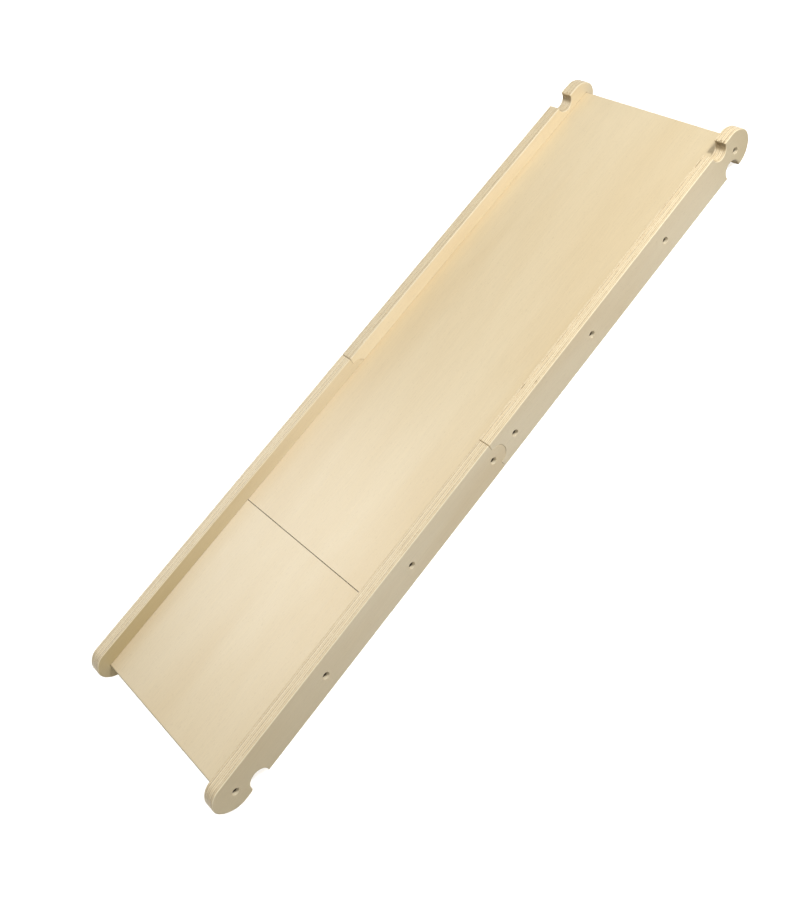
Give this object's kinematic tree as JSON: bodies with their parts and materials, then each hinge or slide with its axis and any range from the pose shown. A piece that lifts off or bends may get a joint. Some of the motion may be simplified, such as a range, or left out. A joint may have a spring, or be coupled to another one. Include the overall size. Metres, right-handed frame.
{
  "type": "toddler slide",
  "caption": "Plywood toddler slide ramp with two-part side rails joined by a rounded tongue and socket, a grooved-in deck and half-round hook notches that drop over a climbing-frame rung.",
  "frame": {"origin": "on the surface the rails rest on, below the middle of the slide", "axes": "+X up the slide to its upper end, +Y to the left rail, +Z out of the sliding face"},
  "size_m": [1.194, 0.334, 0.057],
  "materials": {
    "birch_plywood_rail": "clear satin lacquer",
    "birch_plywood_deck": "clear satin lacquer",
    "birch_plywood_slat": "clear satin lacquer",
    "blackened_steel": "black oxide"
  },
  "bodies": {
    "root": {"rail_lower_right": "birch_plywood_rail", "rail_lower_left": "birch_plywood_rail", "rail_upper_right": "birch_plywood_rail", "rail_upper_left": "birch_plywood_rail", "deck_panel_lower": "birch_plywood_deck", "deck_panel_upper": "birch_plywood_deck", "screw_right_1": "blackened_steel", "screw_right_2": "blackened_steel", "screw_right_3": "blackened_steel", "screw_right_4": "blackened_steel", "screw_right_5": "blackened_steel", "screw_right_6": "blackened_steel", "screw_right_7": "blackened_steel", "screw_right_8": "blackened_steel", "screw_left_1": "blackened_steel", "screw_left_2": "blackened_steel", "screw_left_3": "blackened_steel", "screw_left_4": "blackened_steel", "screw_left_5": "blackened_steel", "screw_left_6": "blackened_steel", "screw_left_7": "blackened_steel", "screw_left_8": "blackened_steel", "climbing_slat_01": "birch_plywood_slat", "climbing_slat_02": "birch_plywood_slat", "climbing_slat_03": "birch_plywood_slat", "climbing_slat_04": "birch_plywood_slat", "climbing_slat_05": "birch_plywood_slat", "climbing_slat_06": "birch_plywood_slat", "climbing_slat_07": "birch_plywood_slat", "climbing_slat_08": "birch_plywood_slat", "climbing_slat_09": "birch_plywood_slat", "climbing_slat_10": "birch_plywood_slat"}
  },
  "joints": []
}
